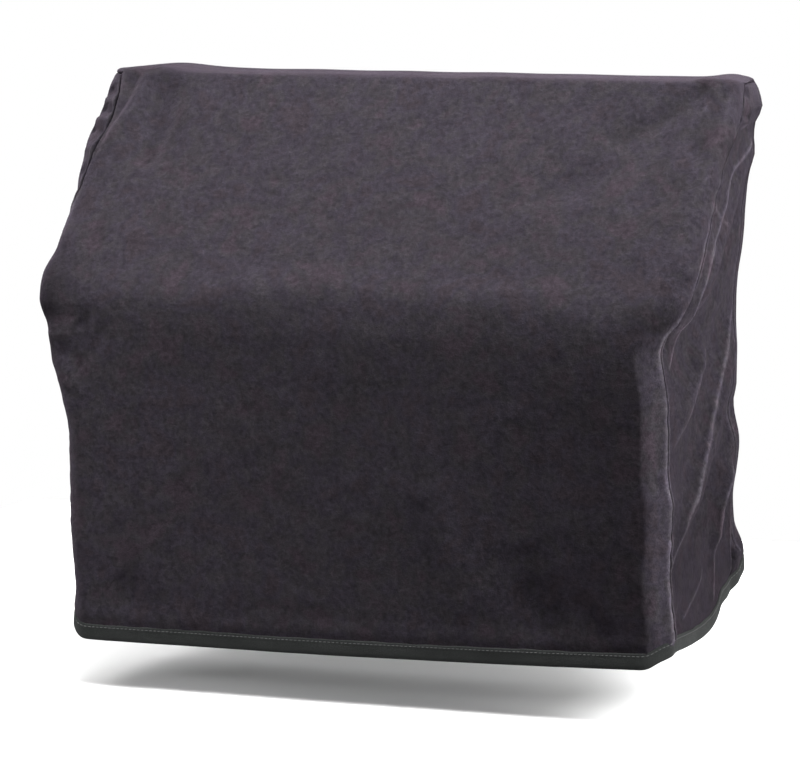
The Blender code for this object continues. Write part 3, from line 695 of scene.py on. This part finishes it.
def gusset_grid(side):
    """One gusset's mid surface with its fine relief, its normals, and its painted highlights and shade."""
    drops = np.concatenate([
        np.linspace(HEM_DROP, STRAIGHT_DROP, HEM_ROWS),
        np.linspace(STRAIGHT_DROP, GUSSET_TOP_DROP, GUSSET_ROWS + 1)[1:],
    ])[:, None]
    share = np.linspace(0, 1, 2 * DENSE)[None, :]
    front, back = seam_y(side, "front", drops), seam_y(side, "back", drops)
    y = front + (back - front) * share
    drops = np.broadcast_to(drops, y.shape)
    points = placed(SIGNS[side] * half_width(side, y, drops), y, drops)
    extra = np.stack([y, drops], axis=2)
    even = np.linspace(0, 1, GUSSET_COLUMNS + 1)[1:-1]

    def wanted(total):
        near = np.zeros(total.shape) + SEAM_COLUMNS
        inner = SEAM_COLUMNS[-1] + even * (total - 2 * SEAM_COLUMNS[-1])
        return np.hstack([near, inner, total - SEAM_COLUMNS[::-1]])

    points, extra, length = respaced(points, extra, wanted)
    y, drop = extra[:, :, 0], extra[:, :, 1]
    normal = surface_normals(points) * SIGNS[side]
    to_front, to_back = length, length[:, -1:] - length
    to_top, to_side = drop - GUSSET_TOP_DROP, np.minimum(to_front, to_back)
    at_top = to_top < to_side
    to_seam = np.where(at_top, to_top, to_side)
    along = np.where(at_top, y, np.where(to_front < to_back, -drop, drop))
    deep = 1 - (1 - BACK_SEAM) * smooth((to_front - to_back) / SEAM_MIDDLE_BLEND)
    deep = np.where(at_top, TOP_SEAM, deep)
    # Painted highlight along crests and seam rolls, and painted shade along stitched lines and low on the gusset
    height, painted_light = creased(side, y, drop)
    painted_light += deep * seam_painted_light(to_seam, along, drop, SEEDS[side]) - LOW_SHADE * ease(drop, *LOW_SHADE_DROPS)
    relief = np.minimum(deep, seam_depth(drop)) * seam_relief(to_seam, along, SEEDS[side])
    relief += height * smooth(to_seam / SEAM_BAND) + hem_relief(drop)
    loose = smooth(to_seam / UNEVEN_FROM_SIDE_SEAM) * smooth(to_back / UNEVEN_FROM_SIDE_BACK)
    relief += uneven(side, y, drop) * loose
    return points + normal * relief[:, :, None], normal, painted_light


def lengths(points, axis):
    """The length along the cloth from the first row or column to each point."""
    steps = np.linalg.norm(np.diff(points, axis=axis), axis=2)
    start = np.zeros_like(np.take(steps, [0], axis=axis))
    return np.concatenate([start, np.cumsum(steps, axis=axis)], axis=axis)


def in_scene(name, data):
    """A new object with this data, put in the scene."""
    made = bpy.data.objects.new(name, data)
    bpy.context.scene.collection.objects.link(made)
    return made


def mesh_object(name, points, faces, uv, materials, face_materials, painted_light=None):
    mesh = bpy.data.meshes.new(name)
    mesh.from_pydata(points.tolist(), [], faces)
    layer = mesh.uv_layers.new(name="cloth")
    loops = np.zeros(len(mesh.loops), np.int32)
    mesh.loops.foreach_get("vertex_index", loops)
    layer.data.foreach_set("uv", uv[loops].reshape(-1))
    if painted_light is not None:
        # A point attribute carries the painted light and shade
        mesh.attributes.new("painted_light", "FLOAT", "POINT").data.foreach_set("value", painted_light)
    for made in materials:
        mesh.materials.append(made)
    mesh.polygons.foreach_set("material_index", face_materials)
    mesh.shade_smooth()
    mesh.update()
    return in_scene(name, mesh)


def thick_sheet(name, points, normal, painted_light, thickness, outside, inside, closed=False):
    """One closed sheet from a grid of points. Its inner face takes every second one, unless the rows close on
    themselves."""
    rows, columns = points.shape[:2]
    step = 1 if closed else 2
    uv = np.stack([lengths(points, 1), lengths(points, 0)], axis=2)
    outer, inner = points + normal * thickness / 2, points[::step, ::step] - normal[::step, ::step] * thickness / 2
    index = np.arange(rows * columns).reshape(rows, columns)
    under = index.size + np.arange(inner[:, :, 0].size).reshape(inner.shape[:2])
    if closed:
        index, under = np.concatenate([index, index[:1]]), np.concatenate([under, under[:1]])
        rings = [(index[:, 0], under[:, 0]), (index[::-1, -1], under[::-1, -1])]
    else:
        rings = [(border(index), border(under))]
    faces = quads(index).tolist() + quads(under)[:, ::-1].tolist()
    slots = [0] * len(quads(index)) + [1] * len(quads(under))
    for ring, low in rings:
        for i in range(len(low) - 1):
            faces.append([*ring[i * step:(i + 1) * step + 1], low[i + 1], low[i]])
            slots.append(0)
    both = np.concatenate([outer.reshape(-1, 3), inner.reshape(-1, 3)])
    a, b, c = (both[faces[0][i]] for i in (0, 1, 3))
    if np.cross(b - a, c - a) @ normal[0, 0] < 0:
        faces = [face[::-1] for face in faces]
    uv = np.concatenate([uv.reshape(-1, 2), uv[::step, ::step].reshape(-1, 2)])
    painted_light = np.concatenate([painted_light.reshape(-1), np.zeros(inner[:, :, 0].size)])
    return mesh_object(name, both, faces, uv, [outside, inside], slots, painted_light)


def quads(index):
    return np.stack([index[:-1, :-1], index[:-1, 1:], index[1:, 1:], index[1:, :-1]], axis=2).reshape(-1, 4)


def border(index):
    return np.concatenate([index[:, 0], index[-1, 1:], index[-2::-1, -1], index[0, -2::-1]])


class Nodes:
    """Short ways to add and link shader nodes in one material."""

    def __init__(self, name):
        self.material = bpy.data.materials.new(name)
        self.material.use_nodes = True
        self.tree = self.material.node_tree

    def add(self, kind, **values):
        node = self.tree.nodes.new(kind)
        for key, value in values.items():
            if key in node.inputs:
                node.inputs[key].default_value = value
            else:
                setattr(node, key, value)
        return node

    def link(self, start, end):
        self.tree.links.new(start, end)

    def math(self, operation, *values):
        node = self.add("ShaderNodeMath", operation=operation)
        for socket, value in zip(node.inputs, values):
            if isinstance(value, (int, float)):
                socket.default_value = value
            else:
                self.link(value, socket)
        return node.outputs[0]

    def place(self, kind="Object"):
        return self.add("ShaderNodeTexCoord").outputs[kind]

    def cloth_lengths(self):
        """The lengths across and down the cloth."""
        split = self.add("ShaderNodeSeparateXYZ")
        self.link(self.place("UV"), split.inputs[0])
        return split.outputs[0], split.outputs[1]

    def weave(self, length):
        return self.math("SINE", self.math("MULTIPLY", length, 2 * np.pi / WEAVE_PITCH))

    def noise(self, vector, scale, detail=2.0, roughness=0.5):
        node = self.add("ShaderNodeTexNoise", Scale=scale, Detail=detail, Roughness=roughness)
        self.link(vector, node.inputs["Vector"])
        return node.outputs["Fac"]

    def ramp(self, fac, stops):
        node = self.add("ShaderNodeValToRGB")
        while len(node.color_ramp.elements) < len(stops):
            node.color_ramp.elements.new(0.5)
        for element, (position, colour) in zip(node.color_ramp.elements, stops):
            element.position = position
            element.color = (*colour, 1)
        self.link(fac, node.inputs["Fac"])
        return node.outputs["Color"]

    def bump(self, height, distance, strength, normal=None):
        node = self.add("ShaderNodeBump", Distance=distance, Strength=strength)
        self.link(height, node.inputs["Height"])
        if normal:
            self.link(normal, node.inputs["Normal"])
        return node.outputs["Normal"]

    def scaled(self, colour, factor):
        node = self.add("ShaderNodeVectorMath", operation="SCALE")
        self.link(colour, node.inputs[0])
        self.link(factor, node.inputs["Scale"])
        return node.outputs["Vector"]

    def times(self, colour, low, high, fac):
        """The colour made darker or lighter between two factors."""
        level = self.add("ShaderNodeMapRange", **{"To Min": low, "To Max": high})
        self.link(fac, level.inputs["Value"])
        return self.scaled(colour, level.outputs["Result"])

    def surface(self, constants, colour=None, normal=None):
        """Sets the shader's sockets that are the same all over, links the others and gives the material."""
        sockets = self.tree.nodes["Principled BSDF"].inputs
        for name, value in constants.items():
            sockets[name].default_value = value
        for name, output in (("Base Color", colour), ("Normal", normal)):
            if output:
                self.link(output, sockets[name])
        return self.material


def velour():
    """Black velour: a soft grain and faint tints, lighter under painted highlights along crests and seam rolls and
    darker under painted shade.
    """
    nodes = Nodes("velour")
    place = nodes.place()
    tufts, grain = nodes.noise(place, 260.0), nodes.noise(place, 900.0, 2.0, 0.6)
    colour = nodes.ramp(nodes.noise(place, 38.0, 3.0, 0.6), [
        (0.34, (0.0079, 0.0065, 0.0078)),
        (0.45, (0.0073, 0.0064, 0.0083)),
        (0.55, (0.0073, 0.0066, 0.0076)),
        (0.66, (0.0081, 0.0064, 0.0079)),
    ])
    colour = nodes.times(colour, 0.68, 1.32, nodes.noise(place, 75.0))
    colour = nodes.times(colour, 0.34, 1.66, tufts)
    colour = nodes.times(colour, 0.38, 1.62, grain)
    # The mesh's painted light and shade lighten or darken the colour
    painted_light_amount = nodes.add("ShaderNodeAttribute", attribute_name="painted_light").outputs["Fac"]
    colour = nodes.scaled(colour, nodes.math("MULTIPLY_ADD", painted_light_amount, PAINTED_LIGHT_GAIN, 1.0))
    normal = nodes.bump(tufts, 0.0010, 0.5)
    normal = nodes.bump(grain, 0.0005, 0.6, normal)
    normal = nodes.bump(nodes.noise(place, 2300.0, 2.0, 0.7), 0.0003, 0.6, normal)
    constants = {"Roughness": 0.95, "Specular IOR Level": 0.0, "Sheen Weight": 0.042, "Sheen Roughness": 0.45}
    return nodes.surface(constants | {"Sheen Tint": (0.88, 0.72, 0.92, 1)}, colour, normal)


def velour_back():
    """The flat, finely woven back of the velour, which shows inside the cover."""
    nodes = Nodes("velour_back")
    across, down = (nodes.weave(length) for length in nodes.cloth_lengths())
    weave = nodes.math("ABSOLUTE", nodes.math("MULTIPLY", across, down))
    colour = nodes.ramp(weave, [(0.0, (0.017, 0.016, 0.018)), (1.0, (0.034, 0.032, 0.035))])
    colour = nodes.times(colour, 0.85, 1.15, nodes.noise(nodes.place(), 60.0, 3.0))
    return nodes.surface({"Roughness": 0.9, "Specular IOR Level": 0.2}, colour, nodes.bump(weave, 0.0003, 0.6))


def twill():
    """Charcoal twill tape: fine slanting ribs across its length, with fuzzy wear."""
    nodes = Nodes("twill_tape")
    place = nodes.place()
    ribs = nodes.weave(nodes.math("ADD", *nodes.cloth_lengths()))
    level = nodes.math("MULTIPLY_ADD", ribs, 0.5, 0.5)
    fuzz = nodes.noise(place, 900.0, 3.0, 0.7)
    both = nodes.math("ADD", nodes.math("MULTIPLY", level, 0.6), nodes.math("MULTIPLY", fuzz, 0.6))
    colour = nodes.ramp(both, [(0.2, (0.0021, 0.0024, 0.0023)), (0.9, (0.0080, 0.0087, 0.0085))])
    colour = nodes.times(colour, 0.72, 1.30, nodes.noise(place, 140.0, 3.0, 0.6))
    normal = nodes.bump(fuzz, 0.0005, 0.6, nodes.bump(level, 0.00035, 0.7))
    constants = {"Roughness": 0.85, "Specular IOR Level": 0.05, "Sheen Weight": 0.02, "Sheen Roughness": 0.5}
    return nodes.surface(constants, colour, normal)


def thread():
    nodes = Nodes("thread")
    strands = nodes.noise(nodes.place(), 4000.0)
    return nodes.surface({"Roughness": 0.6}, nodes.ramp(strands, [(0.3, (0.003,) * 3), (0.7, (0.009,) * 3)]))


def pale_floor():
    tone = (FLOOR_TONE, FLOOR_TONE, FLOOR_TONE, 1)
    return Nodes("pale_floor").surface({"Base Color": tone, "Roughness": 0.9, "Specular IOR Level": 0.0})


def interpolated(at, length, line):
    return np.stack([np.interp(at, length, line[:, i]) for i in range(3)], axis=1)


def hem_line(panel, gussets):
    """The hem's line all the way round, evenly spaced, from the front's left seam by the right side and back."""
    front, back = panel[0], panel[-1]
    left, right = gussets["left"][0], gussets["right"][0]
    loop = np.concatenate([front, right[1:-1], back[::-1], left[::-1][1:-1]])
    closed = np.concatenate([loop, loop[:1]])
    length = lengths(closed[:, None], 0)[:, 0]
    at = np.linspace(0, length[-1], TAPE_STATIONS + 1)[:-1]
    line = interpolated(at, length, closed)
    for _ in range(HEM_SMOOTHING):
        line = (np.roll(line, 1, axis=0) + 2 * line + np.roll(line, -1, axis=0)) / 4
    return line, at


def tape_grid(line, at):
    """The folded tape's middle: down its outer leg, round the cloth's edge and up its inner leg."""
    step = np.roll(line, -1, axis=0) - np.roll(line, 1, axis=0)
    out = np.stack([step[:, 1], -step[:, 0], np.zeros(len(line))], axis=1)
    out = out / np.linalg.norm(out, axis=1, keepdims=True)
    leg = CLOTH / 2 + TAPE / 2 + TAPE_OFF_CLOTH
    over = TAPE_HEIGHT - TAPE
    profile = [(leg - tuck, over - below) for tuck, below in TAPE_TUCKS]
    profile += [(leg + TAPE_BULGE, over * share) for share in OUTER_SHARES]
    for turn in np.linspace(0, np.pi, FOLD_POINTS):
        bulge = TAPE_BULGE * (1 - turn / np.pi)
        profile.append((leg * np.cos(turn) + bulge, -leg * FOLD_FLATNESS * np.sin(turn)))
    profile += [(-leg, over * share) for share in INNER_SHARES]
    profile.append((-leg + INNER_TUCK, over))
    wave = 1 + SWELL * ripple(at, 0, SWELL_WAVE, SWELL_SEED)
    rise = RISE * ripple(at, 0, RISE_WAVE, RISE_SEED)
    points = np.empty((len(line), len(profile), 3))
    for i, (away, up) in enumerate(profile):
        swell = away * np.where(abs(away) > leg, wave, 1)
        points[:, i] = line + out * swell[:, None]
        points[:, i, 2] += up + rise * (up / over if up > 0 else 0)
    return points, out


def stitch_row(line, at, out, outside):
    """Short threads in a row near the tape's upper edge."""
    total = at[-1] + at[1]
    closed_at = np.append(at, total)
    closed = [np.concatenate([row, row[:1]]) for row in (line, out)]
    points, faces = [], []
    around = np.linspace(0, 2 * np.pi, STITCH_SIDES + 1)[:-1]
    along = np.linspace(-0.5, 0.5, STITCH_RINGS)
    arch = 1 - (2 * along) ** 2
    lift = CLOTH / 2 + TAPE + STITCH_OFF_TAPE + STITCH_ARCH * arch
    radius = STITCH_RADIUS * np.sqrt(np.clip(arch + STITCH_END, 0, 1))
    up = np.array([0, 0, 1.0])
    index = np.arange(STITCH_RINGS * STITCH_SIDES).reshape(STITCH_RINGS, STITCH_SIDES)
    following = np.roll(index, -1, axis=1)
    tube = np.stack([index[:-1], following[:-1], following[1:], index[1:]], axis=2).reshape(-1, 4)
    for k in range(int(total / STITCH_PITCH)):
        here = (k + 0.5) * STITCH_PITCH + along * STITCH_LENGTH
        spine, away = (interpolated(here, closed_at, row) for row in closed)
        spine = spine + away * lift[:, None] + up * (TAPE_HEIGHT - TAPE - STITCH_BELOW_EDGE)
        ring = np.cos(around)[None, :, None] * away[:, None] + np.sin(around)[None, :, None] * up
        points.append((spine[:, None] + radius[:, None, None] * ring).reshape(-1, 3))
        faces.append(tube + k * index.size)
    points, faces = np.concatenate(points), np.concatenate(faces).tolist()
    return mesh_object("hem_stitches", points, faces, points[:, :2], [outside], [0] * len(faces))


def camera():
    data = bpy.data.cameras.new("camera")
    data.sensor_fit = "HORIZONTAL"
    data.sensor_width = SENSOR
    data.lens = SENSOR * FOCAL_SHARE
    made = in_scene("camera", data)
    level = np.cos(CAMERA_PITCH)
    look = Vector((-np.sin(CAMERA_AZIMUTH) * level, np.cos(CAMERA_AZIMUTH) * level, -np.sin(CAMERA_PITCH)))
    made.matrix_world = Matrix.Translation(CAMERA_AT) @ look.to_track_quat("-Z", "Y").to_matrix().to_4x4()
    bpy.context.scene.camera = made


def area_light(light):
    data = bpy.data.lights.new(light.name, "AREA")
    data.shape = "RECTANGLE"
    data.size, data.size_y = light.size
    data.energy = light.power
    made = in_scene(light.name, data)
    made.location = light.at
    made.rotation_euler = (Vector(light.target) - Vector(light.at)).to_track_quat("-Z", "Y").to_euler()


def sky():
    """A white sweep that stays white a little above the horizon and darkens towards the ceiling."""
    world = bpy.data.worlds.new("studio")
    world.use_nodes = True
    tree = world.node_tree
    split = tree.nodes.new("ShaderNodeSeparateXYZ")
    tree.links.new(tree.nodes.new("ShaderNodeTexCoord").outputs["Generated"], split.inputs[0])
    ramp = tree.nodes.new("ShaderNodeValToRGB")
    ramp.color_ramp.interpolation = "EASE"
    for element, (height, level) in zip(ramp.color_ramp.elements, SWEEP):
        element.position = height
        element.color = (level, level, level, 1)
    tree.links.new(split.outputs["Z"], ramp.inputs["Fac"])
    tree.links.new(ramp.outputs["Color"], tree.nodes["Background"].inputs["Color"])
    bpy.context.scene.world = world


def studio():
    scene = bpy.context.scene
    scene.view_settings.view_transform = "Standard"
    scene.view_settings.look = "None"
    sky()
    for light in LIGHTS:
        area_light(light)
    bpy.ops.mesh.primitive_plane_add(size=FLOOR_SIZE, location=(0, 0, -FLOOR_DROP))
    floor = bpy.context.active_object
    floor.name = "floor"
    floor.visible_diffuse = False
    floor.data.materials.append(pale_floor())


def dress():
    """Makes the visible pieces, hangs them on the root body and hides the solids that they stand for."""
    front, back, tape, cord = velour(), velour_back(), twill(), thread()
    panel, normal, painted_light = panel_grid()
    pieces = {"main_panel": thick_sheet("panel_cloth", panel, normal, painted_light, CLOTH, front, back)}
    gussets = {}
    for side in SIGNS:
        gussets[side], normal, painted_light = gusset_grid(side)
        made = thick_sheet(f"gusset_cloth_{side}", gussets[side], normal, painted_light, CLOTH, front, back)
        pieces[f"side_gusset_{side}"] = made
    line, at = hem_line(panel, gussets)
    points, out = tape_grid(line, at)
    normal = surface_normals(np.concatenate([points[-1:], points, points[:1]]))[1:-1]
    if (normal[0, 0] * out[0]).sum() < 0:
        normal = -normal
    plain = np.zeros(points.shape[:2])
    binding = thick_sheet("binding_tape", points, normal, plain, TAPE, tape, tape, closed=True)
    stitches = stitch_row(line, at, out, cord)
    pieces["hem_binding"] = binding
    for node, piece in pieces.items():
        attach(piece, "root")
        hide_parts(node)
    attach(stitches, "root")


camera()
studio()
dress()
